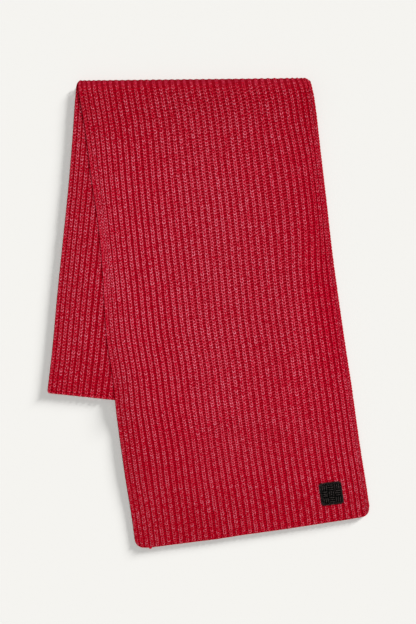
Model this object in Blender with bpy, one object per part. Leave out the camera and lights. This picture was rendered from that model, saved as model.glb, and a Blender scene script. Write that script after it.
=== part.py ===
"""Ribbed knit scarf, folded once over and laid flat on a table.

One knitted strip, about 835 mm long and 248 mm wide, with 39 ribs along it. It is
folded once on a line a little off square, so its two legs fan apart: the longer front
leg lies on the shorter back leg, and beyond the back leg it settles on the table. A
patch of stitching sits near the front end. Metres, +Z up, the table at z = 0.
"""
import math

import bmesh
import bpy
from mathutils import Vector

MM = 0.001

# ---------------------------------------------------------------- driving dimensions
RIBS = 39  # ribs across the strip, the narrow one along each side included
WALL = 4.4 * MM  # thickness of the knitting over a rib
RIB_RISE = 1.2 * MM  # height of a rib above the trough beside it
SIDE_DROP = 0.9 * MM  # how far the strip's two side edges are rounded down
SEAM_GAP = 0.3 * MM  # clearance between neighbouring solids

FOLD_SLANT = math.radians(6.6)  # between the fold line and the strip's own rows
FOLD_TILT = math.radians(0.63)  # of the fold line, against the X axis
TURN_INSIDE = 2.7 * MM  # inner radius of the roll at the fold
TURN_SETTLES = 44 * MM  # length over which the roll sinks onto the back leg
BACK_SEAM = 12 * MM  # from the roll's crown line to the seam with the back leg
DRAPE_START = 3 * MM  # how far past the back leg the front leg starts to sink
DRAPE_RUN = 30 * MM  # and the length over which it reaches the table

FRONT_CORNER = 9 * MM  # corner radius of the front end
BACK_CORNER = 3 * MM  # corner radius of the back end
FRONT_RISE = 3.2 * MM  # how much shorter the front leg is at its right side
RISE_CURVE = 1.4  # from the middle to that side the front end rises on this power
FRONT_SAG = 0.9 * MM  # how much longer it is a few ribs in from its left side
CROWN_AT = 14 * MM  # the crown line meets the strip's sides this far along, + and -
LEFT_ROUNDING, RIGHT_ROUNDING = 2.0 * MM, 3.7 * MM  # the sides are drawn in there
ROUNDING_RUN = 3.5 * MM
END_BAND = 2.6 * MM  # plain edge across each end, where the knitting is finished off
BAND_HEIGHT = 2.6 * MM  # thickness of that plain edge

PATCH_SIZE = 24.5 * MM
PATCH_THICK = 1.0 * MM
PATCH_CORNER = 3.0 * MM
PATCH_RIB = 32.65  # rib coordinate of the patch's middle
PATCH_ALONG = 455 * MM  # distance of the patch's middle from the fold

# The strip's two side edges, in millimetres. "along" is the distance from the fold:
# minus on the back leg, plus on the front leg. "left" and "right" are measured from
# the strip's middle line.
SIDE_EDGES = (
    # along, left, right
    (-348, -119.3, 125.0),
    (-300, -118.8, 125.0),
    (-245, -119.5, 125.0),
    (-190, -119.6, 125.0),
    (-130, -119.7, 124.5),
    (-80, -120.7, 124.0),
    (-30, -122.3, 122.8),
    (10, -121.6, 122.0),
    (40, -120.4, 124.5),
    (90, -120.4, 124.2),
    (150, -119.4, 123.8),
    (200, -121.6, 123.1),
    (260, -125.6, 123.6),
    (305, -124.4, 124.5),
    (345, -125.5, 125.5),
    (410, -124.8, 126.4),
    (450, -123.4, 127.7),
    (487, -123.0, 128.3),
)
BACK_END = SIDE_EDGES[0][0] * MM
FRONT_END = SIDE_EDGES[-1][0] * MM

# Across one rib: how far along its width, and how much of its height.
RIB_PROFILE = (
    # share of width, share of height
    (0.0, 0.0),
    (0.25, 0.8),
    (0.5, 1.0),
    (0.75, 0.8),
)
EDGE_SQUEEZE = 0.38  # the rib at each side is narrower by this share
SQUEEZE_FADES = 2.0  # ribs inwards over which that fades

# How far the ribs stray sideways from even spacing, in ribs: always, and what is added
# over a stretch of the strip, given by its middle and how far that reaches.
TO_LEFT, TO_RIGHT = 0.45, 0.35
MORE_TO_LEFT, LEFT_ALONG, LEFT_RUN = 0.6, 155 * MM, 70 * MM
MORE_TO_RIGHT, RIGHT_ALONG, RIGHT_RUN = 0.72, 138 * MM, 66 * MM
LESS_TO_LEFT, LESS_ALONG, LESS_RUN = 0.3, 392 * MM, 45 * MM

# Where the sections are taken. On a leg they are shares of the way from its seam to its
# end, closer together where the front leg sinks past the back leg's end.
TURN_STEPS = 8  # steps round the half turn of the roll
SETTLE_STEPS = 5  # steps over the length where it sinks
FRONT_SHARES = (
    0, 0.12, 0.25, 0.39, 0.46, 0.515, 0.55, 0.585, 0.62, 0.655, 0.69, 0.725, 0.77, 0.84, 0.92
)
BACK_SHARES = (0, 0.2, 0.4, 0.6, 0.8)
CORNER_STEPS = (12 * MM, 7 * MM, 3.5 * MM)  # distances short of an end

# ---------------------------------------------------------------- derived dimensions
CORE = WALL - RIB_RISE
ROLL_OUTSIDE = TURN_INSIDE + WALL
ROLL_MIDDLE = TURN_INSIDE + WALL / 2
QUARTER = ROLL_MIDDLE * math.pi / 2  # length of cloth from the crown line to either run
FRONT_UNDERSIDE = WALL + SEAM_GAP
FRONT_SEAM = QUARTER + TURN_SETTLES

KNIT_RED = (0.42, 0.012, 0.03)
PATCH_BLACK = (0.008, 0.008, 0.009)


def ease(x):
    """0 below 0, 1 above 1, and a smooth rise between."""
    x = min(1.0, max(0.0, x))
    return x * x * (3 - 2 * x)


# ---------------------------------------------------------------- the strip, laid out
def side_edges(along):
    """Left and right edge of the strip at a distance along it, on a smooth curve."""
    rows = [[value * MM for value in row] for row in SIDE_EDGES]
    if along <= rows[0][0]:
        return rows[0][1], rows[0][2]
    if along >= rows[-1][0]:
        return rows[-1][1], rows[-1][2]
    i = max(n for n in range(len(rows) - 1) if rows[n][0] <= along)
    here, there = rows[i], rows[i + 1]
    before, after = rows[max(i - 1, 0)], rows[min(i + 2, len(rows) - 1)]
    span = there[0] - here[0]
    x = (along - here[0]) / span
    edges = []
    for side in (1, 2):
        leave = span * (there[side] - before[side]) / (there[0] - before[0])
        arrive = span * (after[side] - here[side]) / (after[0] - here[0])
        edges.append(
            (2 * x**3 - 3 * x**2 + 1) * here[side]
            + (x**3 - 2 * x**2 + x) * leave
            + (3 * x**2 - 2 * x**3) * there[side]
            + (x**3 - x**2) * arrive
        )
    edges[0] += LEFT_ROUNDING * math.exp(-(((along + CROWN_AT) / ROUNDING_RUN) ** 2))
    edges[1] -= RIGHT_ROUNDING * math.exp(-(((along - CROWN_AT) / ROUNDING_RUN) ** 2))
    return tuple(edges)


def share_across(rib):
    """Share of the strip's width at a rib coordinate, with narrower ribs at the sides."""
    def room(x):
        near = 1 - math.exp(-x / SQUEEZE_FADES)
        far = math.exp(-(RIBS - x) / SQUEEZE_FADES) - math.exp(-RIBS / SQUEEZE_FADES)
        return x - EDGE_SQUEEZE * SQUEEZE_FADES * (near + far)

    return room(rib) / room(RIBS)


def across(rib, along):
    """Distance from the strip's middle line."""
    left, right = side_edges(along)
    return left + (right - left) * share_across(rib)


def strayed(rib, along):
    """Where a rib really lies: crowded to the left, opened out right of the middle."""
    to_left = TO_LEFT * ease(rib / 7) * ease((30 - rib) / 10)
    to_right = TO_RIGHT * ease((rib - 28) / 9) * ease((RIBS - rib) / 1.5)
    more = MORE_TO_LEFT * ease(rib / 3) * ease((24 - rib) / 14)
    to_left += more * math.exp(-(((along - LEFT_ALONG) / LEFT_RUN) ** 2))
    less = LESS_TO_LEFT * ease((rib - 3) / 3) * ease((16 - rib) / 5)
    to_left -= less * math.exp(-(((along - LESS_ALONG) / LESS_RUN) ** 2))
    more = MORE_TO_RIGHT * ease((rib - 27) / 6) * ease((RIBS - rib) / 4)
    to_right += more * math.exp(-(((along - RIGHT_ALONG) / RIGHT_RUN) ** 4))
    return rib + to_right - to_left


def along_at(rib, turn):
    """Distance along a rib at which it is a given distance past the fold line."""
    along = turn
    for _ in range(4):
        along = (turn + across(rib, along) * math.sin(FOLD_SLANT)) / math.cos(FOLD_SLANT)
    return along


def end_of(rib, end, radius):
    """Where a rib ends: the strip's end, drawn in round the corners."""
    left, right = side_edges(end)
    aside = across(rib, end)
    inward = min(aside - left, right - aside)
    short = radius - math.sqrt(max(0.0, radius**2 - max(0.0, radius - inward) ** 2))
    if end > 0:
        short += FRONT_RISE * max(0.0, 2 * rib / RIBS - 1) ** RISE_CURVE
        short -= FRONT_SAG * ease((rib - 1) / 2) * ease((19 - rib) / 6)
    return end - math.copysign(short, end)


# ---------------------------------------------------------------- the strip, folded
def beyond_back_leg(sideways, down):
    """How far a place on the table lies outside the back leg, 0 where it is on it."""
    turn = -(down - ROLL_OUTSIDE + QUARTER)
    aside = sideways * math.cos(FOLD_SLANT) - turn * math.sin(FOLD_SLANT)
    along = turn * math.cos(FOLD_SLANT) + sideways * math.sin(FOLD_SLANT)
    left, right = side_edges(along)
    return math.hypot(max(0.0, left - aside, aside - right), max(0.0, BACK_END - along))


def folded(rib, along, height):
    """A point of the folded strip, measured from the fold's crown line.

    height is measured from the strip's reverse, which is the underside of the front
    leg, the inside of the roll and the upper face of the back leg.
    """
    aside = across(rib, along)
    sideways = aside * math.cos(FOLD_SLANT) + along * math.sin(FOLD_SLANT)
    turn = along * math.cos(FOLD_SLANT) - aside * math.sin(FOLD_SLANT)
    if turn < -QUARTER:
        down = ROLL_OUTSIDE - QUARTER - turn
        up = WALL - height
    elif turn <= QUARTER:
        angle = turn / ROLL_MIDDLE
        down = ROLL_OUTSIDE - (TURN_INSIDE + height) * math.cos(angle)
        up = ROLL_OUTSIDE + (TURN_INSIDE + height) * math.sin(angle)
    else:
        down = ROLL_OUTSIDE - QUARTER + turn
        sunk = ease((turn - QUARTER) / TURN_SETTLES)
        underside = ROLL_OUTSIDE + TURN_INSIDE
        underside -= (underside - FRONT_UNDERSIDE) * sunk
        past = (beyond_back_leg(sideways, down) - DRAPE_START) / DRAPE_RUN
        up = underside * (1 - ease(past)) + height
    tilt_cos, tilt_sin = math.cos(FOLD_TILT), math.sin(FOLD_TILT)
    return Vector((
        sideways * tilt_cos + down * tilt_sin,
        sideways * tilt_sin - down * tilt_cos,
        up,
    ))


# ---------------------------------------------------------------- walls of knitting
def rib_points(row, ribbed):
    """The ribbed face of one section, from the left side to the right."""
    points = []
    for rib in range(RIBS):
        for share, rise in RIB_PROFILE:
            if rib + share == 0:
                continue
            place = strayed(rib + share, row(rib + share))
            points.append(folded(place, row(place), ribbed(rise)))
    left, right = (folded(rib, row(rib), ribbed(-SIDE_DROP / RIB_RISE)) for rib in (0, RIBS))
    return [left] + points + [right]


def plain_points(row, height):
    """The plain face of one section, one point for each rib, from right to left."""
    places = [strayed(rib, row(rib)) for rib in range(RIBS, -1, -1)]
    return [folded(place, row(place), height) for place in places]


def wall(name, sections, colour):
    """A closed wall lofted through sections, each one ring of ribbed and plain points."""
    bm = bmesh.new()
    rings = [[bm.verts.new(point) for point in section] for section in sections]
    for near, far in zip(rings, rings[1:]):
        for i, vertex in enumerate(near):
            j = (i + 1) % len(near)
            bm.faces.new((vertex, near[j], far[j], far[i]))
    steps = len(RIB_PROFILE)
    for ring in (rings[0], rings[-1]):
        plain = ring[RIBS * steps + 1:][::-1]
        for rib in range(RIBS):
            top = ring[rib * steps:(rib + 1) * steps + 1]
            bm.faces.new(top + [plain[rib + 1], plain[rib]])
    bmesh.ops.recalc_face_normals(bm, faces=bm.faces)
    mesh = bpy.data.meshes.new(name)
    bm.to_mesh(mesh)
    bm.free()
    return add_object(name, mesh, colour, 0.85)


def add_object(name, mesh, colour, roughness):
    material = bpy.data.materials.new(name + "_yarn")
    material.use_nodes = True
    shader = material.node_tree.nodes["Principled BSDF"]
    shader.inputs["Base Color"].default_value = (*colour, 1)
    shader.inputs["Roughness"].default_value = roughness
    shader.inputs["Metallic"].default_value = 0
    mesh.materials.append(material)
    piece = bpy.data.objects.new(name, mesh)
    scarf.objects.link(piece)
    return piece


def leg_rows(start, end, radius, shares):
    """Rows from the seam at the fold to the finished end, each a rule for its ribs."""
    rows = []
    direction = math.copysign(1, end)

    def row_at(share):
        return lambda rib: start(rib) + share * (end_of(rib, end, radius) - start(rib))

    def row_short(distance):
        return lambda rib: end_of(rib, end, radius) - direction * distance

    for share in shares:
        rows.append(row_at(share))
    for distance in CORNER_STEPS:
        rows.append(row_short(distance))
    rows.append(row_short(END_BAND))
    rows.append(row_short(0))
    return rows


def front_leg():
    rows = leg_rows(
        lambda rib: along_at(rib, FRONT_SEAM + SEAM_GAP / 2),
        FRONT_END, FRONT_CORNER, FRONT_SHARES,
    )
    sections = []
    for row in rows[:-1]:
        section = rib_points(row, lambda rise: CORE + rise * RIB_RISE)
        sections.append(section + plain_points(row, 0))
    band = rib_points(rows[-1], lambda rise: BAND_HEIGHT)
    sections.append(band + plain_points(rows[-1], 0))
    return wall("front_leg", sections, KNIT_RED)


def back_leg():
    rows = leg_rows(
        lambda rib: along_at(rib, -BACK_SEAM - SEAM_GAP / 2),
        BACK_END, BACK_CORNER, BACK_SHARES,
    )
    sections = []
    for row in rows[:-1]:
        section = rib_points(row, lambda rise: RIB_RISE * (1 - rise))
        sections.append(section + plain_points(row, WALL))
    band = rib_points(rows[-1], lambda rise: WALL - BAND_HEIGHT)
    sections.append(band + plain_points(rows[-1], WALL))
    return wall("back_leg", sections, KNIT_RED)


def fold_turn():
    """The roll at the fold, from the back leg's seam round and down to the front leg's."""
    turns = [-BACK_SEAM + SEAM_GAP / 2]
    turns += [QUARTER * (2 * step / TURN_STEPS - 1) for step in range(TURN_STEPS + 1)]
    turns += [QUARTER + TURN_SETTLES * step / SETTLE_STEPS for step in range(1, SETTLE_STEPS)]
    turns.append(FRONT_SEAM - SEAM_GAP / 2)
    sections = []
    for turn in turns:
        # The ribs are pressed flat where the roll rests on the table.
        free = ease((turn + QUARTER) / (QUARTER / 2))

        def height(rise, free=free):
            return WALL - (1 - rise) * RIB_RISE * free

        def row(rib, turn=turn):
            return along_at(rib, turn)

        sections.append(rib_points(row, height) + plain_points(row, 0))
    return wall("fold_turn", sections, KNIT_RED)


# ---------------------------------------------------------------- the stitched patch
def patch():
    """A rounded square of close stitching, lifted off the ribs that it lies on."""
    bm = bmesh.new()
    bmesh.ops.create_grid(bm, x_segments=1, y_segments=1, size=PATCH_SIZE / 2)
    bmesh.ops.bevel(
        bm, geom=bm.verts[:], offset=PATCH_CORNER, offset_type="OFFSET", affect="VERTICES",
        segments=4, profile=0.5, material=-1,
    )
    lower = bm.faces[:]
    upper = bmesh.ops.extrude_face_region(bm, geom=lower)["geom"]
    upper = [item for item in upper if isinstance(item, bmesh.types.BMVert)]
    left, right = side_edges(PATCH_ALONG)
    rib_width = (right - left) * (share_across(PATCH_RIB + 0.5) - share_across(PATCH_RIB - 0.5))
    for vertex in bm.verts:
        rib = PATCH_RIB + vertex.co.x / rib_width
        along = PATCH_ALONG - vertex.co.y
        lift = PATCH_THICK if vertex in upper else 0
        vertex.co = folded(rib, along, WALL + SEAM_GAP + lift)
    bmesh.ops.recalc_face_normals(bm, faces=bm.faces)
    mesh = bpy.data.meshes.new("patch")
    bm.to_mesh(mesh)
    bm.free()
    return add_object("patch", mesh, PATCH_BLACK, 0.6)


# ---------------------------------------------------------------- the scarf
for old in list(bpy.data.objects):
    bpy.data.objects.remove(old)
scarf = bpy.data.collections.new("ribbed_scarf")
bpy.context.scene.collection.children.link(scarf)

pieces = [front_leg(), fold_turn(), back_leg(), patch()]

# The part's origin is the middle of its underside.
low = [min(v.co[axis] for piece in pieces for v in piece.data.vertices) for axis in range(3)]
high = [max(v.co[axis] for piece in pieces for v in piece.data.vertices) for axis in range(3)]
middle = Vector(((low[0] + high[0]) / 2, (low[1] + high[1]) / 2, low[2]))
for piece in pieces:
    for vertex in piece.data.vertices:
        vertex.co -= middle
    print(piece.name, len(piece.data.vertices), "points")
print("size in mm:", [round((high[axis] - low[axis]) / MM, 1) for axis in range(3)])
print("crown line to origin in mm:", [round(-value / MM, 2) for value in middle])
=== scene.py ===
# %% [markdown]
# # A ribbed knit scarf, folded once and laid flat
# The real scarf is one long strip of chunky rib knitting. It is folded over once, a
# little off square, so its two legs fan apart, and it lies on a pale table. The CAD
# model holds the strip as plain walls with raised ribs. This lesson dresses that
# model: a ground cloth, a yarn loop for every stitch that shows, the purl bars between
# the ribs, finished edges, a stitched patch, and then the light and the camera.

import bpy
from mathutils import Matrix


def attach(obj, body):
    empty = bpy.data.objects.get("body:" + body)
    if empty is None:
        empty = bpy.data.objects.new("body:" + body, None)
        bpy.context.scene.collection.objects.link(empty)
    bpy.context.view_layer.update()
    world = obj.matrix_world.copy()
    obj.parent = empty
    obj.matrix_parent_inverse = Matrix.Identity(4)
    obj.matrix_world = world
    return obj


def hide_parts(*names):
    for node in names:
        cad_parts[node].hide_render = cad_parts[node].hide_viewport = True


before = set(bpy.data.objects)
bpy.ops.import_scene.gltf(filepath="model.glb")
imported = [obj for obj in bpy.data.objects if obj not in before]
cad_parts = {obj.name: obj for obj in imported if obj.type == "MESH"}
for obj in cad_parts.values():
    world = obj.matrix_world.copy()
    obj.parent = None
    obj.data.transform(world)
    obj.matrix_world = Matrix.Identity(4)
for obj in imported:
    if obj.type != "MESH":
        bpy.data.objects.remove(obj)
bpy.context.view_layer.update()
print("CAD nodes:", ", ".join(sorted(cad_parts)))

# %% Tools and units
import math

import bmesh
import bpy
import numpy as np
from mathutils import Matrix, Vector

MM = 0.001
scene = bpy.context.scene

# %% [markdown]
# ## The camera
# The scarf is looked at from straight above, as things laid flat on a table are. A
# long lens from high up keeps the edges of the picture free of perspective. The lens
# is worked out from the height and from how much cloth one pixel should cover.

# %% Camera straight above
PIXELS_HIGH = 624
MM_A_PIXEL = 1.06
CAMERA_HEIGHT = 2.6
CLOTH_TOP = 4.5 * MM
SENSOR = 36
AIMED_AT = (-0.27 * MM, 0.77 * MM)

camera_data = bpy.data.cameras.new("camera_above")
camera_data.sensor_width = SENSOR
camera_data.lens = SENSOR * (CAMERA_HEIGHT - CLOTH_TOP) / (PIXELS_HIGH * MM_A_PIXEL * MM)
camera = bpy.data.objects.new("camera_above", camera_data)
camera.location = (*AIMED_AT, CAMERA_HEIGHT)
scene.collection.objects.link(camera)
scene.camera = camera
scene.view_settings.view_transform = "Standard"
print("lens in mm:", round(camera_data.lens, 1))

# %% [markdown]
# ## The strip, laid out and folded
# Every stitch has to sit on the cloth, over the fold and down to the table. So the
# place of a stitch is given in the cloth's own terms: which rib, how far along the
# strip, and how high above the back of the cloth. One function turns these into a
# place in the room. It repeats the rules that the CAD solids were made by, written
# for whole arrays of points at once.

# %% Sizes of the strip
RIBS = 39
WALL = 4.4 * MM
FOLD_SLANT = math.radians(6.6)
FOLD_TILT = math.radians(0.63)
TURN_INSIDE = 2.7 * MM
TURN_SETTLES = 44 * MM
DRAPE_START = 3 * MM
DRAPE_RUN = 30 * MM
FRONT_CORNER = 9 * MM
BACK_CORNER = 3 * MM
FRONT_RISE = 3.2 * MM  # how much shorter the front leg is at its right side
RISE_CURVE = 1.4
FRONT_SAG = 0.9 * MM  # how much longer it is a few ribs in from its left side
CROWN_AT = 14 * MM  # the crown line meets the strip's sides this far along, + and -
LEFT_ROUNDING, RIGHT_ROUNDING = 2.0 * MM, 3.7 * MM  # the sides are drawn in there
ROUNDING_RUN = 3.5 * MM
ROUNDED_RIBS = 5
EDGE_SQUEEZE = 0.38  # the rib at each side is narrower by this share
SQUEEZE_FADES = 2.0  # ribs inwards over which that fades
LEFT_THINNER = 0.64  # share of the height that the front leg loses at its left edge
THINNER_RIBS, THINNER_ALONG = (2.7, 0.1), (40 * MM, 140 * MM)  # where that sets in
STRETCH_GONE, STRETCH_FULL = 16 * MM, 4 * MM  # how far past the fold its pull is felt
SEAM_GAP = 0.3 * MM
CROWN_TO_ORIGIN = (-16.17 * MM, 247.87 * MM)

ROLL_OUTSIDE = TURN_INSIDE + WALL
ROLL_MIDDLE = TURN_INSIDE + WALL / 2
QUARTER = ROLL_MIDDLE * math.pi / 2
FRONT_UNDERSIDE = WALL + SEAM_GAP

# Distance from the fold, then the left and the right edge from the middle line.
SIDE_EDGES = MM * np.array((
    (-348, -119.3, 125.0), (-300, -118.8, 125.0), (-245, -119.5, 125.0),
    (-190, -119.6, 125.0), (-130, -119.7, 124.5), (-80, -120.7, 124.0),
    (-30, -122.3, 122.8), (10, -121.6, 122.0), (40, -120.4, 124.5),
    (90, -120.4, 124.2), (150, -119.4, 123.8), (200, -121.6, 123.1),
    (260, -125.6, 123.6), (305, -124.4, 124.5), (345, -125.5, 125.5),
    (410, -124.8, 126.4), (450, -123.4, 127.7), (487, -123.0, 128.3),
))
BACK_END, FRONT_END = SIDE_EDGES[0, 0], SIDE_EDGES[-1, 0]
ENDS = (
    # place, radius of its corners, length over which rows are drawn in
    (FRONT_END, FRONT_CORNER, 34 * MM),
    (BACK_END, BACK_CORNER, 8 * MM),
)


# %% Soft steps and humps
def ease(x):
    """0 below 0, 1 above 1, and a smooth rise between."""
    x = np.clip(x, 0, 1)
    return x * x * (3 - 2 * x)


def between(value, start, end):
    """0 up to start, 1 from end on, and smooth between. The end may be the smaller."""
    return ease((value - start) / (end - start))


def hump(value, middle, reach, power=2):
    """1 at the middle, and nearly 0 at twice the reach from it."""
    return np.exp(-(((value - middle) / reach) ** power))


print("a quarter of the way up a step:", float(between(2, 0, 8)))


# %% Across the strip
def side_edges(along):
    """Left and right edge of the strip, on a smooth curve through the table."""
    table = SIDE_EDGES
    along = np.clip(along, table[0, 0], table[-1, 0])
    i = np.clip(np.searchsorted(table[:, 0], along, side="right") - 1, 0, len(table) - 2)
    here, there = table[i], table[i + 1]
    before, after = table[np.maximum(i - 1, 0)], table[np.minimum(i + 2, len(table) - 1)]
    span = there[..., 0] - here[..., 0]
    x = (along - here[..., 0]) / span
    edges = []
    for side in (1, 2):
        leave = span * (there[..., side] - before[..., side]) / (there[..., 0] - before[..., 0])
        arrive = span * (after[..., side] - here[..., side]) / (after[..., 0] - here[..., 0])
        edges.append(
            (2 * x**3 - 3 * x**2 + 1) * here[..., side]
            + (x**3 - 2 * x**2 + x) * leave
            + (3 * x**2 - 2 * x**3) * there[..., side]
            + (x**3 - x**2) * arrive
        )
    return edges


def room(rib):
    """The room that the ribs up to this one take up, in ribs of full width."""
    near = 1 - np.exp(-rib / SQUEEZE_FADES)
    far = np.exp(-(RIBS - rib) / SQUEEZE_FADES) - math.exp(-RIBS / SQUEEZE_FADES)
    return rib - EDGE_SQUEEZE * SQUEEZE_FADES * (near + far)


def across(rib, along):
    """Distance from the middle line. The ribs at the two sides are narrower.

    The outer ribs are drawn in at the crown of the fold, which rounds its corners.
    """
    left, right = side_edges(along)
    aside = left + (right - left) * room(rib) / room(float(RIBS))
    at_left = hump(along, -CROWN_AT, ROUNDING_RUN) * between(rib, ROUNDED_RIBS, 0)
    at_right = hump(along, CROWN_AT, ROUNDING_RUN) * between(rib, RIBS - ROUNDED_RIBS, RIBS)
    return aside + LEFT_ROUNDING * at_left - RIGHT_ROUNDING * at_right


print("width of a middle rib in mm:", round(float(across(20, 0.2) - across(19, 0.2)) / MM, 2))

# %% How the wales stray
STRAYS = (
    # size in ribs (less than 0 is left), ribs where it grows, ribs where it fades, and
    # the middle, reach and power of the stretch it keeps to
    (-0.45, (0, 7), (30, 20), None),
    (0.35, (28, 37), (RIBS, RIBS - 1.5), None),
    (-0.6, (0, 3), (24, 10), (155 * MM, 70 * MM, 2)),
    (0.3, (3, 6), (16, 11), (392 * MM, 45 * MM, 2)),
    (0.72, (27, 33), (RIBS, RIBS - 4), (138 * MM, 66 * MM, 4)),
)


def wander(rib, along):
    """How far the wales stray sideways from even spacing, in ribs.

    They crowd together at the left and open out right of the middle, most of all
    between a tenth and a half of the way down the front leg.
    """
    stray = 0
    for size, grows, fades, stretch in STRAYS:
        here = size * between(rib, *grows) * between(rib, *fades)
        stray = stray + (here * hump(along, *stretch) if stretch else here)
    return stray


print("rib 30 strays to the right by", round(float(wander(30, 140 * MM)), 2), "ribs")


# %% Along the strip and over the fold
def past_fold(rib, along):
    """How far a place on the strip is past the fold line."""
    return along * math.cos(FOLD_SLANT) - across(rib, along) * math.sin(FOLD_SLANT)


def over_roll(turn):
    """0 on the back leg, and 1 from half way round the lower side of the roll on."""
    return between(turn, -QUARTER, -QUARTER / 2)


def stretched(rib, along):
    """1 on the turn of the fold, where the stitches are pulled smooth, and 0 beyond."""
    turn = past_fold(rib, along)
    return over_roll(turn) * between(turn, STRETCH_GONE, STRETCH_FULL)


def smoothed(rib, along):
    """The same for how plain the stitches look, which is less at the right side."""
    return stretched(rib, along) * (1 - 0.6 * between(rib, 24, 34))


def drawn_in(rib, along):
    """Draws the last rows in, so the ends of the strip get their rounded corners.

    The front end also slopes up at its right side and sags a little near its left.
    """
    for end, radius, run in ENDS:
        left, right = side_edges(end)
        aside = across(rib, end)
        inward = np.maximum(0, np.minimum(aside - left, right - aside))
        short = radius - np.sqrt(np.maximum(0, radius**2 - np.maximum(0, radius - inward) ** 2))
        if end > 0:
            short = short + FRONT_RISE * np.maximum(0, 2 * rib / RIBS - 1) ** RISE_CURVE
            short = short - FRONT_SAG * between(rib, 1, 3) * between(rib, 19, 13)
        share = ease(1 - (end - along) / math.copysign(run, end))
        along = along - math.copysign(1, end) * short * share
    return along


def beyond_back_leg(sideways, down):
    """How far a place on the table lies outside the back leg."""
    turn = -(down - ROLL_OUTSIDE + QUARTER)
    aside = sideways * math.cos(FOLD_SLANT) - turn * math.sin(FOLD_SLANT)
    along = turn * math.cos(FOLD_SLANT) + sideways * math.sin(FOLD_SLANT)
    left, right = side_edges(along)
    outside = np.maximum(0, np.maximum(left - aside, aside - right))
    return np.hypot(outside, np.maximum(0, BACK_END - along))


def folded(rib, along, height):
    """Places in the room. height is measured from the back of the cloth."""
    aside = across(rib, along)
    sideways = aside * math.cos(FOLD_SLANT) + along * math.sin(FOLD_SLANT)
    turn = along * math.cos(FOLD_SLANT) - aside * math.sin(FOLD_SLANT)
    angle = np.clip(turn, -QUARTER, QUARTER) / ROLL_MIDDLE
    flat_run = np.maximum(0, np.abs(turn) - QUARTER)
    reach = TURN_INSIDE + height
    down = ROLL_OUTSIDE - reach * np.cos(angle) + flat_run
    up = ROLL_OUTSIDE + reach * np.sin(angle)
    sunk = ease((turn - QUARTER) / TURN_SETTLES)
    underside = ROLL_OUTSIDE + TURN_INSIDE
    underside = underside - (underside - FRONT_UNDERSIDE) * sunk
    past = (beyond_back_leg(sideways, down) - DRAPE_START) / DRAPE_RUN
    thinner = LEFT_THINNER * between(rib, *THINNER_RIBS) * between(along, *THINNER_ALONG)
    # Where the edge lies on the table, it is nearly as thick as the rest again.
    thick_again = 0.5 + 0.4 * between(along, 450 * MM, 390 * MM)
    thinner = thinner * (1 - ease(past) * thick_again)
    up = np.where(turn > QUARTER, underside * (1 - ease(past)) + height * (1 - thinner), up)
    tilt_cos, tilt_sin = math.cos(FOLD_TILT), math.sin(FOLD_TILT)
    return np.stack((
        sideways * tilt_cos + down * tilt_sin + CROWN_TO_ORIGIN[0],
        sideways * tilt_sin - down * tilt_cos + CROWN_TO_ORIGIN[1],
        up,
    ), axis=-1)


corner = folded(np.array([0.0]), np.array([0.2]), np.array([WALL]))[0]
print("a place on the left edge in mm:", [round(float(value) / MM, 1) for value in corner])


# %% [markdown]
# Laid cloth is never quite flat. Two faint creases cross the front leg where the scarf
# was once folded up for storage, and the whole leg swells and dips a little.

# %% Creases and swells
CREASES = (
    # along, ribs where it grows, ribs where it fades, height, half width
    (114 * MM, (-4, 2), (30, 20), 0.9 * MM, 5.5 * MM),
    (267 * MM, (-4, 2), (43, 36), 0.7 * MM, 6.5 * MM),
)
CREASE_SLANT = 0.5 * MM  # for each rib to the right
SLACK = 0.25 * MM


def swell(rib, along):
    """Height that creases and slackness add to the front leg."""
    lift = 0 * along
    for place, grows, fades, height, half in CREASES:
        here = between(rib, *grows) * between(rib, *fades)
        lift = lift + here * height * hump(along, place + CREASE_SLANT * rib, half)
    slack = 1 + np.sin(along / (33 * MM) + 0.21 * rib) * np.sin(0.17 * rib - along / (71 * MM))
    inside = between(along, 60 * MM, 100 * MM) * between(along, FRONT_END, FRONT_END - 40 * MM)
    return inside * (lift + SLACK * slack)


print("height of the first crease in mm:", round(float(swell(8, 118 * MM)) / MM, 2))

# %% [markdown]
# ## Shader nodes as sums
# A material is a tree of nodes, and two small classes keep it readable. Finish holds
# one material and adds any node by its type, its settings and its sockets. Link is one
# output of a node, and sums and products of links add their Math nodes themselves.


# %% Finish and Link
class Link:
    """One output socket. Arithmetic on it adds Math nodes."""

    def __init__(self, finish, socket):
        self.finish, self.socket = finish, socket

    def math(self, operation, *numbers):
        settings = {"operation": operation}
        return self.finish.node("ShaderNodeMath", settings, dict(enumerate(numbers)))

    def __add__(self, other):
        return self.math("ADD", self, other)

    def __sub__(self, other):
        return self.math("SUBTRACT", self, other)

    def __rsub__(self, other):
        return self.math("SUBTRACT", other, self)

    def __mul__(self, other):
        return self.math("MULTIPLY", self, other)

    __radd__, __rmul__ = __add__, __mul__

    def sine(self):
        return self.math("SINE", self)

    def ramp(self, start, end, low=0.0, high=1.0):
        """low below start, high above end, and a smooth rise between."""
        return self.finish.node(
            "ShaderNodeMapRange", {"interpolation_type": "SMOOTHSTEP"},
            {"Value": self, "From Min": start, "From Max": end, "To Min": low, "To Max": high},
        )


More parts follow.
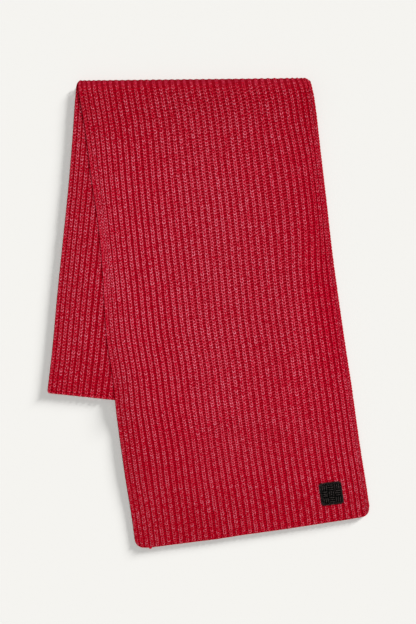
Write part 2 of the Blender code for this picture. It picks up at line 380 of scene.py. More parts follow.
class Finish:
    """One material and its nodes."""

    def __init__(self, name, **sockets):
        self.material = bpy.data.materials.new(name)
        self.material.use_nodes = True
        self.tree = self.material.node_tree
        self.shader = self.tree.nodes["Principled BSDF"]
        self.wear(**sockets)

    def node(self, kind, settings=None, sockets=None, output=0):
        node = self.tree.nodes.new(kind)
        for key, value in (settings or {}).items():
            setattr(node, key, value)
        for key, value in (sockets or {}).items():
            self.plug(value, node.inputs[key])
        return Link(self, node.outputs[output])

    def plug(self, value, socket):
        if isinstance(value, Link):
            self.tree.links.new(value.socket, socket)
        else:
            socket.default_value = value

    def mix(self, share, first, second):
        """A colour between two colours."""
        return self.node(
            "ShaderNodeMix", {"data_type": "RGBA"}, {0: share, 6: first, 7: second}, output=2
        )

    def noise(self, place, scale, detail):
        return self.node(
            "ShaderNodeTexNoise", None, {"Vector": place, "Scale": scale, "Detail": detail}
        )

    def number(self, name):
        """A number that every point of the piece carries."""
        return self.node("ShaderNodeAttribute", {"attribute_name": name}, output="Fac")

    def bump(self, strength, depth, height):
        """The normal of relief that is too fine to model."""
        return self.node(
            "ShaderNodeBump", None, {"Strength": strength, "Distance": depth, "Height": height}
        )

    def map_place(self, name):
        """The two numbers that say where on a map a point is."""
        place = self.node("ShaderNodeUVMap", {"uv_map": name})
        return [self.node("ShaderNodeSeparateXYZ", None, {0: place}, output=i) for i in (0, 1)]

    def wear(self, **sockets):
        """Gives sockets of the shader their values or links."""
        for key, value in sockets.items():
            self.plug(value, self.shader.inputs[key.replace("_", " ")])
        return self.material


print("finish tools ready")

# %% [markdown]
# ## Marled yarn
# The yarn is spun from plies of deep red with a paler pink fibre twisted in. The pale
# fibre comes and goes, so one stitch glows and the next is plain. The finish follows
# the yarn by its own map: u runs along the yarn and v round it. A whole number of
# plies round the yarn keeps the twist free of a seam.

# %% Yarn finish
# The yarn's red runs from a bright red down to a dark wine red, which stands both for random tone
# and for painted shade.
DEEP_RED = (0.71, 0.0, 0.03, 1)
WINE_RED_AND_SHADE = (0.475, 0.0, 0.012, 1)
PALE_PINK = (0.93, 0.275, 0.375, 1)
YARN_SHEEN = (1, 0.2, 0.25, 1)
PLIES = 2
TWISTS_A_LENGTH = 3
FIBRE_SCALE, FIBRE_DETAIL = 860, 1.5
DRAWN_OUT = (1, 0.4, 1)


def yarn_finish(name, fleck, shade):
    """fleck is how much pale fibre shows, and shade how much of the bright red is lost to painted
    shade.

    Each point carries five numbers: its stitch's chance, its nap (how pale it is), its
    painted light (how bright the red is painted, darker where shade falls), its lift (how
    high it lies, which paints high yarn lighter and low yarn darker) and how tight the
    knitting is.
    """
    finish = Finish(
        name, Roughness=0.9, Specular_IOR_Level=0.01, Sheen_Weight=0.006, Sheen_Tint=YARN_SHEEN
    )
    length, around = finish.map_place("yarn")
    place = finish.node("ShaderNodeTexCoord", output="Object")
    chance, nap, glow = finish.number("chance"), finish.number("nap"), finish.number("glow")
    lift, tight = finish.number("lift"), finish.number("tight")

    twist = ((length * TWISTS_A_LENGTH + around * PLIES) * (2 * math.pi)).sine()
    fibres = finish.noise(place, FIBRE_SCALE, FIBRE_DETAIL)
    # Where the knitting is tight, the fibres run on from stitch to stitch.
    drawn_out = finish.node(
        "ShaderNodeVectorMath", {"operation": "MULTIPLY"}, {0: place, 1: DRAWN_OUT}
    )
    smooth_fibres = finish.noise(drawn_out, FIBRE_SCALE, FIBRE_DETAIL) * 0.75 + 0.14
    fibres = fibres + (smooth_fibres - fibres) * tight
    pale = (chance * 0.12 + twist * 0.08 + fibres * 1.6 + nap * 0.22).ramp(0.85, 1.4)
    # Painted light and shade: yarn that lies high gets more pale fibre and a brighter red, low
    # yarn less of both, and the painted light number darkens the red where shade falls.
    pale = pale * (nap * 0.45 + 0.55) * lift.ramp(0.26, 0.93, 0.02, 1.0) * fleck
    deep = (fibres * 1.1 + chance * 0.1 + lift * 0.45).ramp(0.5, 1.1) * glow
    red = finish.mix(deep * (1 - shade), WINE_RED_AND_SHADE, DEEP_RED)
    colour = finish.mix(pale, red, PALE_PINK)
    return finish.wear(Base_Color=colour, Normal=finish.bump(0.5, 0.3 * MM, twist * 0.5 + fibres))


# The bars in the troughs and the chains at the edges wear shaded copies of the yarn: their red is
# painted darker, as painted shade, and they show less pale fibre.
wale_finish = yarn_finish("marled_yarn", 1.0, 0.0)
purl_finish = yarn_finish("marled_yarn_shaded_in_the_troughs", 0.65, 0.2)
edge_finish = yarn_finish("marled_yarn_shaded_at_the_edges", 0.36, 0.1)
print("yarn finishes:", wale_finish.name, purl_finish.name, edge_finish.name)

# %% [markdown]
# ## The ground cloth
# Behind the loops the knitting is dense. A closed thin wall stands for it, a little
# lower than the loops: a grid is extruded once, and then every vertex is sent through
# the folding function. Its ribs rise on the faces that show, the outside of the front
# leg and of the fold, and the other face on the back leg. It takes the place of the
# three CAD walls, which are hidden.

# %% Ground finish
# Painted shade: the ground is painted dark red in the gaps between the ribs and a lighter red up
# on the ribs, broken by random streaks and fuzz.
GAP_SHADE_RED = (0.24, 0.0, 0.004, 1)
CREST_RED = (0.52, 0.001, 0.02, 1)
FOLD_RED = (0.44, 0.023, 0.053, 1)  # of the crests where the fold stretches them
FUZZ_SCALE = 900

ground = Finish("knit_ground", Roughness=0.95, Specular_IOR_Level=0.0)
rib_place, course_place = ground.map_place("cloth")
fuzz = ground.noise(ground.node("ShaderNodeTexCoord", output="Object"), FUZZ_SCALE, 3.0)
ladder = ((course_place * (2 * math.pi)).sine() + 1) * 0.5
lit_crest_share = 0.5 - (rib_place * (2 * math.pi) + math.pi / 2).sine() * 0.5
streak_place = ground.node(
    "ShaderNodeCombineXYZ", None, {0: rib_place * 5, 1: course_place * 0.6}
)
streaks = ground.noise(streak_place, 1.0, 1.0)
crests = streaks.ramp(0.25, 0.65) * lit_crest_share.ramp(0.2, 0.8)
ground_red = ground.mix(
    fuzz.ramp(0.3, 0.8) * 0.2 + ladder * 0.1 + crests * 0.75,
    GAP_SHADE_RED, ground.mix(ground.number("on_fold"), CREST_RED, FOLD_RED),
)
ground_finish = ground.wear(
    Base_Color=ground_red, Normal=ground.bump(0.6, 0.4 * MM, ladder + fuzz)
)
print("ground finish:", ground_finish.name)


# %% Helpers for pieces
def points_of(mesh):
    """All points of a mesh, one in a row."""
    found = np.empty(len(mesh.vertices) * 3)
    mesh.vertices.foreach_get("co", found)
    return found.reshape(-1, 3)


def place_points(mesh, points):
    mesh.vertices.foreach_set("co", points.ravel())
    mesh.update()


def corners_of(mesh):
    """For each corner of each face, the vertex it is at."""
    found = np.empty(len(mesh.loops), np.int32)
    mesh.loops.foreach_get("vertex_index", found)
    return found


def add_map(mesh, name, places):
    layer = mesh.uv_layers.get(name) or mesh.uv_layers.new(name=name)
    layer.uv.foreach_set("vector", np.ascontiguousarray(places, np.float32).ravel())


def add_numbers(mesh, **numbers):
    for name, values in numbers.items():
        layer = mesh.attributes.new(name, "FLOAT", "POINT")
        each = np.empty(len(mesh.vertices), np.float32)
        each[:] = values
        layer.data.foreach_set("value", each)


def add_piece(name, mesh, finish):
    mesh.name = name
    mesh.materials.clear()
    mesh.materials.append(finish)
    mesh.shade_smooth()
    piece = bpy.data.objects.new(name, mesh)
    scene.collection.objects.link(piece)
    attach(piece, "root")
    print(name, "has", sum(len(face.vertices) - 2 for face in mesh.polygons), "triangles")
    return piece


def mesh_from(bm, name):
    mesh = bpy.data.meshes.new(name)
    bm.to_mesh(mesh)
    bm.free()
    return mesh


def thicken(bm, height):
    """Extrudes a flat sheet upwards."""
    lifted = bmesh.ops.extrude_face_region(bm, geom=bm.faces[:])["geom"]
    top = [item for item in lifted if isinstance(item, bmesh.types.BMVert)]
    bmesh.ops.translate(bm, verts=top, vec=(0, 0, height))


def rotated(degrees, axis):
    return Matrix.Rotation(math.radians(degrees), 4, axis)


# %% Ground cloth
COLUMNS, ROWS = RIBS * 4, 150
# Rows lie closer together round the fold: at these shares of the grid, these places.
ROW_SHARES, ROW_PLACES = (0, 0.32, 0.55, 1), (BACK_END, -30 * MM, 30 * MM, FRONT_END)
GROUND_COURSE = 3.1 * MM
FLOOR_SIDE = WALL - 0.1 * MM
REVERSE_FROM = -10 * MM  # from here back, the other face of the cloth is the upper one
REVERSE_RIBS = (-6 * MM, -14 * MM)  # and over this stretch its ribs rise
ROUNDED_SIDE = 0.3  # ribs over which each side drops
BAKE_MARGIN = 0.005
GROUND_TROUGH, GROUND_CREST, SIDE_DROP = 2.15 * MM, 2.95 * MM, 0.7 * MM
FOLD_TROUGH, FOLD_CREST = 3.5 * MM, 4.1 * MM  # the same where the fold stretches it

bm = bmesh.new()
bmesh.ops.create_grid(bm, x_segments=COLUMNS, y_segments=ROWS, size=0.5)
thicken(bm, 1)
ground_mesh = mesh_from(bm, "knit_ground")
flat = points_of(ground_mesh)
rib_even = (flat[:, 0] + 0.5) * RIBS
row_share = flat[:, 1] + 0.5
outer = flat[:, 2] > 0.5
strip_place = np.interp(row_share, ROW_SHARES, ROW_PLACES)
rib = rib_even + wander(rib_even, strip_place)
along = drawn_in(rib, strip_place)
turn = past_fold(rib, along)

relief = 0.5 - 0.5 * np.cos(2 * math.pi * rib_even)
at_side = ease(1 - np.minimum(rib, 2 * (RIBS - rib)) / ROUNDED_SIDE)
on_fold = stretched(rib, along)
trough = GROUND_TROUGH + (FOLD_TROUGH - GROUND_TROUGH) * on_fold
crest = GROUND_CREST + (FOLD_CREST - GROUND_CREST) * on_fold
ribbed = trough + (crest - trough) * relief - SIDE_DROP * at_side
raised = over_roll(turn)
outer_height = ribbed * raised + FLOOR_SIDE * (1 - raised)
inner_height = (WALL - ribbed) * between(turn, *REVERSE_RIBS)
height = np.where(outer, outer_height, inner_height)
points = folded(rib, along, height)
points[:, 2] += swell(rib, along)
place_points(ground_mesh, points)
add_numbers(ground_mesh, on_fold=on_fold)

bm = bmesh.new()
bm.from_mesh(ground_mesh)
bmesh.ops.recalc_face_normals(bm, faces=bm.faces)
bm.to_mesh(ground_mesh)
bm.free()

vertex = corners_of(ground_mesh)
faces_in = np.repeat(np.arange(len(ground_mesh.polygons)), 4)
on_outer = np.bincount(faces_in, outer[vertex])[faces_in] > 0
add_map(ground_mesh, "cloth", np.stack((rib_even, strip_place / GROUND_COURSE), 1)[vertex])
# The map for baking has the outer face above the inner one.
bake_u = BAKE_MARGIN + (1 - 2 * BAKE_MARGIN) * rib_even[vertex] / RIBS
bake_v = BAKE_MARGIN + (0.5 - 2 * BAKE_MARGIN) * row_share[vertex] + 0.5 * on_outer
add_map(ground_mesh, "OFBake", np.stack((bake_u, bake_v), 1))
ground_cloth = add_piece("ground_cloth", ground_mesh, ground_finish)
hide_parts("front_leg", "fold_turn", "back_leg")

# %% [markdown]
# ## One stitch
# A knit stitch seen from the front is a V: the yarn comes down one leg, turns, and goes
# up the other, and the legs' tops tuck behind the stitch above. So one stitch is a
# ring of yarn that is spun half a turn, with a leg extruded from each end. It is shaped
# in a flat layout first: x across the rib, y along it with the turn at the bottom, and
# z the height above the back of the cloth.

# %% Stitch loop
RIB_UNIT = 6.4  # width of a rib in the flat layout, in mm
COURSE_UNIT = 3.1  # and the distance from one stitch to the next
YARN_RADIUS = 0.58
YARN_SIDES = 5
TURN_STEPS = 4
TURN_RADIUS = 1.2
LEG = 2.4
LEG_SPREAD = 0.45
LEG_SLIMMER = 0.35  # share of its thickness that the yarn loses up a leg
LOOP_HEIGHT = 4.0  # of the yarn's middle at the turn
LOOP_LEAN = 0.2  # drop for each mm up the stitch
LEG_TUCK = 0.35  # and what a leg's top drops besides
ON_TURN = 1e-4


def yarn_map(bm, path, angle):
    """A map with u along the yarn and v round it, from rules for a vertex."""
    layer = bm.loops.layers.uv.new("yarn")
    for face in bm.faces:
        turns = [angle(loop.vert.co) for loop in face.loops]
        wraps = max(turns) - min(turns) > 0.5
        for loop, turn in zip(face.loops, turns):
            loop[layer].uv = (path(loop.vert.co), turn + (wraps and turn < 0.5))


def loop_path(co):
    """0 at the top of the left leg, 1 at the top of the right one."""
    bend = math.pi * TURN_RADIUS / 2
    if co.y > ON_TURN:
        run = math.copysign(bend + co.y, co.x)
    else:
        run = math.atan2(co.x, -co.y) * TURN_RADIUS
    return 0.5 + run / (2 * (bend + LEG))


def loop_angle(co):
    """Where round the yarn a vertex is, from 0 to 1."""
    outward = (math.hypot(co.x, co.y) if co.y < ON_TURN else abs(co.x)) - TURN_RADIUS
    return math.atan2(co.z, outward) / (2 * math.pi) % 1


def stitch_loop():
    """A U of yarn that lies flat."""
    bm = bmesh.new()
    start = Matrix.Translation((-TURN_RADIUS, 0, 0)) @ rotated(90, "X")
    bmesh.ops.create_circle(bm, segments=YARN_SIDES, radius=YARN_RADIUS, matrix=start)
    bmesh.ops.spin(
        bm, geom=bm.verts[:] + bm.edges[:], cent=(0, 0, 0), axis=(0, 0, 1),
        angle=math.pi, steps=TURN_STEPS, use_duplicate=False,
    )
    rims = [edge for edge in bm.edges if edge.is_boundary]
    raised = bmesh.ops.extrude_edge_only(bm, edges=rims)["geom"]
    tops = [item for item in raised if isinstance(item, bmesh.types.BMVert)]
    bmesh.ops.translate(bm, verts=tops, vec=(0, LEG, 0))
    bmesh.ops.holes_fill(bm, edges=bm.edges[:], sides=0)
    bmesh.ops.recalc_face_normals(bm, faces=bm.faces)
    yarn_map(bm, loop_path, loop_angle)
    return bm


def shape_loop(bm):
    """Spreads the legs into a V and tucks their tops down behind the next stitch."""
    for v in bm.verts:
        up_leg = max(0.0, v.co.y) / LEG
        side = math.copysign(1, v.co.x)
        slim = 1 - LEG_SLIMMER * up_leg
        if up_leg:
            from_middle = v.co.x - side * TURN_RADIUS
            v.co.x = side * (TURN_RADIUS + LEG_SPREAD * up_leg) + from_middle * slim
        v.co.z = v.co.z * slim
        v.co.z += LOOP_HEIGHT - LOOP_LEAN * (v.co.y + TURN_RADIUS) - LEG_TUCK * up_leg


loop = stitch_loop()
shape_loop(loop)
print("one stitch has", len(loop.faces), "faces and", len(loop.verts), "points")
loop_mesh = mesh_from(loop, "stitch")

# %% [markdown]
# Between the ribs the cloth sinks, and there the yarn crosses from one rib to the next
# as a short bar. One bar is a slim ball of yarn, stretched sideways.

# %% Purl bar
BAR_HALF, BAR_THICK, BAR_TALL = 1.75, 0.70, 0.55  # across the rib, along it and upwards
BAR_PLACE, BAR_BOW = 0.5, 0.25
BAR_HEIGHT, BAR_ENDS_RISE = 2.95, 0.10


def bar_path(co):
    """0 at the left end of the bar, 1 at the right one."""
    return 0.5 + co.x / (2 * BAR_HALF)


def bar_angle(co):
    """Where round the bar a vertex is, from 0 to 1."""
    return math.atan2(co.z, co.y) / (2 * math.pi) % 1


bm = bmesh.new()
bmesh.ops.create_uvsphere(bm, u_segments=5, v_segments=4, radius=1, matrix=rotated(90, "Y"))
bmesh.ops.scale(bm, vec=(BAR_HALF, BAR_THICK, BAR_TALL), verts=bm.verts)
yarn_map(bm, bar_path, bar_angle)
for v in bm.verts:
    v.co.y += BAR_PLACE - BAR_BOW * (1 - (v.co.x / BAR_HALF) ** 2)
    v.co.z += BAR_HEIGHT + BAR_ENDS_RISE * v.co.x**2
print("one purl bar has", len(bm.faces), "faces")
bar_mesh = mesh_from(bm, "purl_bar")

# %% [markdown]
# ## Rows and ribs of stitches
# Thousands of stitches come from one by two Array modifiers, first along a rib and
# then from rib to rib. Each copy's column and row in that flat block say which rib and
# course it belongs to, so the block can be laid on the folded cloth, with a little
# chance in each stitch. Courses are further apart near the fold than at the front end.

# %% Courses along the strip
PITCH_TABLE = MM * np.array((
    # along, distance between courses
    (-348, 3.33), (-60, 3.40), (20, 3.43), (45, 3.38), (80, 3.19), (130, 3.15),
    (250, 3.13), (330, 3.03), (370, 2.77), (400, 2.60), (440, 2.52), (487, 2.47),
))
FRONT_MARGIN, BACK_MARGIN = 2.6 * MM, 3.4 * MM  # from the ends to the first course

courses = [FRONT_END - FRONT_MARGIN]
while courses[-1] > BACK_END + BACK_MARGIN:
    courses.append(courses[-1] - np.interp(courses[-1], *PITCH_TABLE.T))
courses = np.array(courses)
pitches = np.interp(courses, *PITCH_TABLE.T)

# The courses fall into three runs, each given by its first course and how many it has.
TURN_FROM, TURN_TO = 60 * MM, -22 * MM
leg_ends, turn_ends = int(np.sum(courses > TURN_FROM)), int(np.sum(courses > TURN_TO))
FRONT_LEG, TURN = (0, leg_ends), (leg_ends, turn_ends - leg_ends)
BACK_LEG = (turn_ends, len(courses) - turn_ends)
print(len(courses), "courses:", TURN[1], "round the fold,", BACK_LEG[1], "on the back leg")

# %% [markdown]
# Yarn isn't worn and lit alike everywhere. Most pale fibre stands up in the middle of
# the front leg. The red is painted darker at the fold, the ends and the sides, and on
# the back leg, as painted shade. So each point gets its nap, its painted light and its
# tightness from soft steps over the cloth.


# %% Nap, painted light and tightness
def nap_at(rib, along):
    """How much pale fibre shows. Steps along the strip are in mm from the fold."""
    place = along / MM
    front = 0.53 + 0.45 * between(place, 5, 125) - 0.52 * between(place, 230, 480)
    front = front * (0.83 + 0.12 * between(rib, 8, 26)) * (1 - 0.24 * between(rib, 17, 29))
    front = front * (1 - 0.32 * between(place, 410, 470))
    plain_patches = hump(place, 120, 45) * between(rib, 6, 1)
    plain_patches = plain_patches + hump(place, 325, 40) * between(rib, 10, 3)
    front = front * (1 - 0.18 * plain_patches)
    right = between(rib, 31, 37) * (0.3 + 0.7 * between(place, 50, 140))
    front = front * (1 - 0.66 * right * between(place, 380, 280))
    front = front * (1 + 0.25 * between(rib, 14, 28) * between(place, 330, 430))
    back = 0.60 * (1 - 0.4 * between(place, -270, -340))
    nap = np.where(along > 0, front, back)
    from_side = np.minimum(between(rib, 0.2, 1.6), between(rib, RIBS, RIBS - 1))
    nap = nap * (1 - 0.6 * smoothed(rib, along)) * (0.5 + 0.5 * from_side)
    return nap**0.6


def glow_at(rib, along):
    """Painted light and shade: how bright the red is painted, darker where shade falls.

    Steps along the strip are in mm from the fold.
    """
    place = along / MM
    at_end = between(place, 350, 460) * (1 - 0.35 * between(rib, 8, 24))
    at_end = at_end + 0.35 * between(place, 420, 480)
    front = (1 - 0.75 * at_end) * (1 - 0.75 * between(place, 110, 0))
    front = front * (1 - 0.4 * between(rib, 33, 37) * between(place, 260, 160))
    at_left = (0.45 * between(place, 200, 300) + 0.3 * hump(place, 115, 45)) * between(rib, 5, 0)
    at_left = at_left + 0.35 * between(place, 280, 330) * between(rib, 10, 3)
    front = front * (1 - at_left)
    back = 0.55 * (1 - 0.35 * between(place, -270, -340)) * (1 - 0.3 * between(rib, 8, 2))
    at_rim = 0.35 * between(rib, 0.6, 0) + 0.6 * between(rib, 38.2, 38.7)
    return np.maximum(0, np.where(along > 0, front, back) * (1 - at_rim))


def tightened(along):
    """0 on most of the strip and 1 at the front end, where the knitting is drawn tight."""
    return between(along, 385 * MM, 445 * MM)


print("nap in the middle of the front leg:", round(float(nap_at(19.5, 200 * MM)), 2))

# %% Lay a block of stitches on the cloth
SPACING = 10.0  # between copies in the flat layout
CELL_MARGIN = 0.08  # of the map for baking, in which each copy has a cell
TABLE_CLEARANCE = 0.02 * MM
LOWEST_YARN, HIGHEST_YARN = 2.4, 4.6  # heights where the lift is 0 and 1
WIDTH_VARIES, PLACE_VARIES, LEAN_VARIES, SKEW_VARIES, HEIGHT_VARIES = 0.05, 0.10, 0.10, 0.06, 0.07
OPENS = (8, 22)  # the gaps between the ribs widen from here to there
LOOSE_ON_ROLL = 3 * MM  # what yarn may stand proud of the wall on the roll
chance = np.random.default_rng(39)


def arrayed(mesh, columns, rows):
    """A block of copies, with each point's place in its copy, its column and its row."""
    block = bpy.data.objects.new("block", mesh)
    scene.collection.objects.link(block)
    for count, offset in ((rows, (0, SPACING, 0)), (columns, (SPACING, 0, 0))):
        array = block.modifiers.new("copies", "ARRAY")
        array.count = count
        array.use_relative_offset = False
        array.use_constant_offset = True
        array.constant_offset_displace = offset
    bpy.context.view_layer.update()
    laid = bpy.data.meshes.new_from_object(
        block.evaluated_get(bpy.context.evaluated_depsgraph_get())
    )
    bpy.data.objects.remove(block)
    flat = points_of(laid)
    column, row = np.round(flat[:, :2] / SPACING).astype(int).T
    flat[:, 0] -= column * SPACING
    flat[:, 1] -= row * SPACING

    vertex = corners_of(laid)
    yarn = np.empty(len(vertex) * 2, np.float32)
    laid.uv_layers["yarn"].uv.foreach_get("vector", yarn)
    in_cell = CELL_MARGIN + (1 - 2 * CELL_MARGIN) * yarn.reshape(-1, 2)
    add_map(laid, "OFBake", (np.stack((column, row), 1)[vertex] + in_cell) / (columns, rows))
    return laid, flat.T, column, row


def finish_block(name, mesh, points, rib, along, z, bright, finish):
    """Puts the points in place and adds the numbers that the finish reads."""
    points[:, 2] = np.maximum(points[:, 2], TABLE_CLEARANCE) + swell(rib, along)
    place_points(mesh, points)
    add_numbers(
        mesh, chance=bright, nap=nap_at(rib, along), glow=glow_at(rib, along),
        lift=(z - LOWEST_YARN) / (HIGHEST_YARN - LOWEST_YARN), tight=tightened(along),
    )
    return add_piece(name, mesh, finish)


def fit_bars(x, y, z, middle, opened, tight, outside):
    """Widens each bar with its gap, slants it, and lays it deeper near the edges."""
    y = y * (1 + 0.8 * tight) + 0.27 * x * between(middle, 6, 26)
    x = x * (0.95 + 0.12 * opened - 0.15 * tight)
    inner = between(middle, 4, 16) * between(middle, 37, 30)
    deeper = 0.45 * (1 - inner) + 0.25 * ~outside + 0.4 * tight
    return x, y, z - deeper + 0.6 * between(middle, 2, 1)


def fit_loops(x, y, middle, place, opened, tight):
    """Makes the loops broad and long at the front end, and sets them in at the right."""
    y = y * (1 + 0.2 * tight)
    at_right = between(middle, 28, 34) * between(place, 230 * MM, 300 * MM)
    last = between(middle, 37.5, 38.5)
    x = x * (1.02 - 0.02 * opened + 0.03 * tight + 0.07 * at_right - 0.2 * last)
    return x - 0.25 * at_right - 0.5 * last, y


def lay_block(name, unit, finish, first_rib, columns, run, spans=False):
    """Arrays a unit and lays it on the folded strip, on the ribs or between them."""
    first_course, rows = run
    mesh, (x, y, z), column, row = arrayed(unit, columns, rows)

    def draw(size):
        return chance.normal(0, size, (columns, rows))[column, row]

    bright = chance.random((columns, rows))[column, row]
    x = x * (1 + draw(WIDTH_VARIES)) + draw(PLACE_VARIES) + draw(LEAN_VARIES) * y
    y = y + draw(PLACE_VARIES) + draw(SKEW_VARIES) * x
    z = z + draw(HEIGHT_VARIES)

    place, pitch = courses[first_course + row], pitches[first_course + row]
    middle = first_rib + column + (1.0 if spans else 0.5)
    opened, tight = between(middle, *OPENS), tightened(place)
    outside = past_fold(middle, place) > REVERSE_FROM
    if spans:
        x, y, z = fit_bars(x, y, z, middle, opened, tight, outside)
    else:
        x, y = fit_loops(x, y, middle, place, opened, tight)
    rib = middle + x / RIB_UNIT
    rib = rib + wander(rib if spans else middle, place)
    step = y / COURSE_UNIT * pitch
    along = drawn_in(rib, place + np.where(outside, -step, step))
    z = z - 0.6 * smoothed(rib, along)
    most = WALL - 0.05 * MM + LOOSE_ON_ROLL * over_roll(past_fold(rib, along))
    height = np.where(outside, np.minimum(z * MM, most), WALL - z * MM)
    points = folded(rib, along, height)
    if spans:
        # Painted light: this raises only the bars' lift, so they are painted lighter where the
        # gaps open.
        z = z + 0.2 * opened * (1 - tight)  # wider gaps let more light in
    return finish_block(name, mesh, points, rib, along, z, bright, finish)


# %% Knit wales
SHOWN_AT_BACK = 14  # ribs of the back leg that the front leg doesn't cover

wales = [
    lay_block(f"wales_{name}", loop_mesh, wale_finish, first_rib, columns, run)
    for name, first_rib, columns, run in (
        ("00_to_06", 0, 7, FRONT_LEG), ("07_to_13", 7, 7, FRONT_LEG),
        ("14_to_22", 14, 9, FRONT_LEG), ("23_to_30", 23, 8, FRONT_LEG),
        ("31_to_38", 31, 8, FRONT_LEG), ("round_the_turn", 0, RIBS, TURN),
        ("on_the_back_leg", 0, SHOWN_AT_BACK, BACK_LEG),
    )
]

# %% Purl bars in the troughs
bars = [
    lay_block(f"purl_bars_{name}", bar_mesh, purl_finish, 0, columns, run, spans=True)
    for name, columns, run in (
        ("on_the_front_leg", RIBS - 1, FRONT_LEG), ("round_the_turn", RIBS - 1, TURN),
        ("on_the_back_leg", SHOWN_AT_BACK, BACK_LEG),
    )
]

# %% [markdown]
# ## Finished edges
# Down each side of the strip the outermost stitch turns over the edge, and shows as a
# chain of loops on the narrow side. Across each end the last row is closed with a
# chain too. Both are the same stitch loop, arrayed in one line: on the sides its height
# points outwards, and across the ends it is turned a quarter.

# %% Side chains
EDGE_RIB_WIDTH = 4.0 * MM  # what one rib at the very edge measures
CHAIN_HEIGHT, CHAIN_SLIM = 1.75, 0.7
LEFT_CHAIN_AT, RIGHT_CHAIN_AT = 0.14, RIBS + 0.01  # in ribs, for the yarn's middle
RIGHT_LOOPS_LONGER = 1.3
OUT_VARIES, STEP_VARIES = 0.05, 0.15


def side_chain(name, side, run):
    """A chain of loops down one side, -1 for the left and 1 for the right."""
    first_course, rows = run
    mesh, (x, y, z), _, row = arrayed(loop_mesh, 1, rows)
    bright = chance.random(rows)[row]
    out = (z - LOOP_HEIGHT + OUT_VARIES * chance.normal(0, 1, rows)[row]) * MM / EDGE_RIB_WIDTH
    rib = RIGHT_CHAIN_AT + out if side > 0 else LEFT_CHAIN_AT - out
    place, pitch = courses[first_course + row], pitches[first_course + row]
    outside = past_fold(rib, place) > REVERSE_FROM
    y = y * (RIGHT_LOOPS_LONGER if side > 0 else 1.0)
    step = (y + STEP_VARIES * chance.normal(0, 1, rows)[row]) / COURSE_UNIT * pitch
    along = drawn_in(rib, place + np.where(outside, -step, step))
    height = (CHAIN_HEIGHT - side * np.where(outside, x, -x) * CHAIN_SLIM) * MM
    height = np.where(outside, height, WALL - height)
    points = folded(rib, along, height)
    return finish_block(name, mesh, points, rib, along, z, bright, edge_finish)


edges = [
    side_chain("left_chain_front_leg", -1, FRONT_LEG),
    side_chain("left_chain_turn", -1, TURN),
    side_chain("left_chain_back_leg", -1, BACK_LEG),
    side_chain("right_chain_front_leg", 1, FRONT_LEG),
    side_chain("right_chain_turn", 1, TURN),
]

# %% End chains
LOOPS_A_RIB = 2
END_INSET, END_SLIM, END_DROP = 1.1, 0.62, 1.35


def end_chain(name, end):
    """A chain of loops across one end of the strip."""
    count = LOOPS_A_RIB * RIBS
    mesh, (x, y, z), _, row = arrayed(loop_mesh, 1, count)
    bright = chance.random(count)[row]
    rib = np.clip((row + 0.5 + y / COURSE_UNIT) / LOOPS_A_RIB, 0.02, RIBS - 0.02)
    along = drawn_in(rib, end - math.copysign(1, end) * (END_INSET - END_SLIM * x) * MM)
    height = (z - END_DROP) * MM
    points = folded(rib, along, height if end > 0 else WALL - height)
    # The end chains get a lower lift, so they are painted a darker red with less pale fibre, as
    # painted shade.
    return finish_block(name, mesh, points, rib, along, z - 0.6, bright, edge_finish)


edges += [end_chain("front_end_chain", FRONT_END), end_chain("back_end_chain", BACK_END)]

# %% [markdown]
# ## The tail of the yarn
# Where the knitting was cast off, the end of the yarn is knotted into the edge. Two
# small rings of yarn through each other and a short tail make the knot.

# %% Yarn knot
KNOT_PLACE = (2.9, FRONT_END + 0.9 * MM, 1.6 * MM)  # rib, distance along and height
KNOT_RINGS = ((20, 10, 1.1 * MM), (75, 60, 0.9 * MM))  # tilt, turn in degrees, radius
KNOT_YARN, TAIL_YARN = 0.55 * MM, 0.45 * MM
TAIL_PLACE, TAIL_TURN = (0.6 * MM, 1.4 * MM, 0.4 * MM), 70

bm = bmesh.new()
bm.loops.layers.uv.new("yarn")
for tilt, turned, ring_size in KNOT_RINGS:
    ring = bmesh.ops.create_circle(
        bm, segments=6, radius=KNOT_YARN,
        matrix=Matrix.Translation((ring_size, 0, 0)) @ rotated(90, "X"),
    )["verts"]
    rim = ring + [edge for edge in bm.edges if edge.verts[0] in ring and edge.verts[1] in ring]
    bmesh.ops.spin(
        bm, geom=rim, cent=(0, 0, 0), axis=(0, 0, 1), angle=2 * math.pi, steps=12,
        use_merge=True, use_duplicate=False,
    )
    whole = [v for v in bm.verts if not v.tag]
    bmesh.ops.transform(bm, matrix=rotated(turned, "Z") @ rotated(tilt, "X"), verts=whole)
    for v in whole:
        v.tag = True
bmesh.ops.create_uvsphere(
    bm, u_segments=6, v_segments=8, radius=TAIL_YARN,
    matrix=Matrix.Translation(TAIL_PLACE) @ rotated(TAIL_TURN, "Z") @ rotated(90, "Y")
    @ Matrix.Diagonal((1, 1, 4, 1)),
)
bmesh.ops.remove_doubles(bm, verts=bm.verts, dist=0.001 * MM)
bmesh.ops.recalc_face_normals(bm, faces=bm.faces)
knot_at = folded(*(np.array([value]) for value in KNOT_PLACE))[0]
bmesh.ops.translate(bm, verts=bm.verts, vec=Vector(knot_at))
for v in bm.verts:
    v.co.z = max(v.co.z, 0.05 * MM)
knot_mesh = mesh_from(bm, "yarn_knot")
add_numbers(knot_mesh, chance=0.5, nap=0.4, glow=0.3, lift=0.7, tight=0.0)
edges.append(add_piece("yarn_knot", knot_mesh, edge_finish))

# %% [markdown]
# ## The stitched patch
# Near the front end a small block of black embroidery is sewn on. It is plain, with no
# letters or sign: a low pad with rounded corners, nine small blocks of thread in
# basket weave, and a border of satin stitches. Each thread is a slim ball, and all are
# sent through the folding function with the pad.

# %% Patch thread finish
PATCH_BLACK = (0.001, 0.001, 0.001, 1)
THREAD_SHINE = (0.052, 0.042, 0.039, 1)
THREAD_SCALE = 900

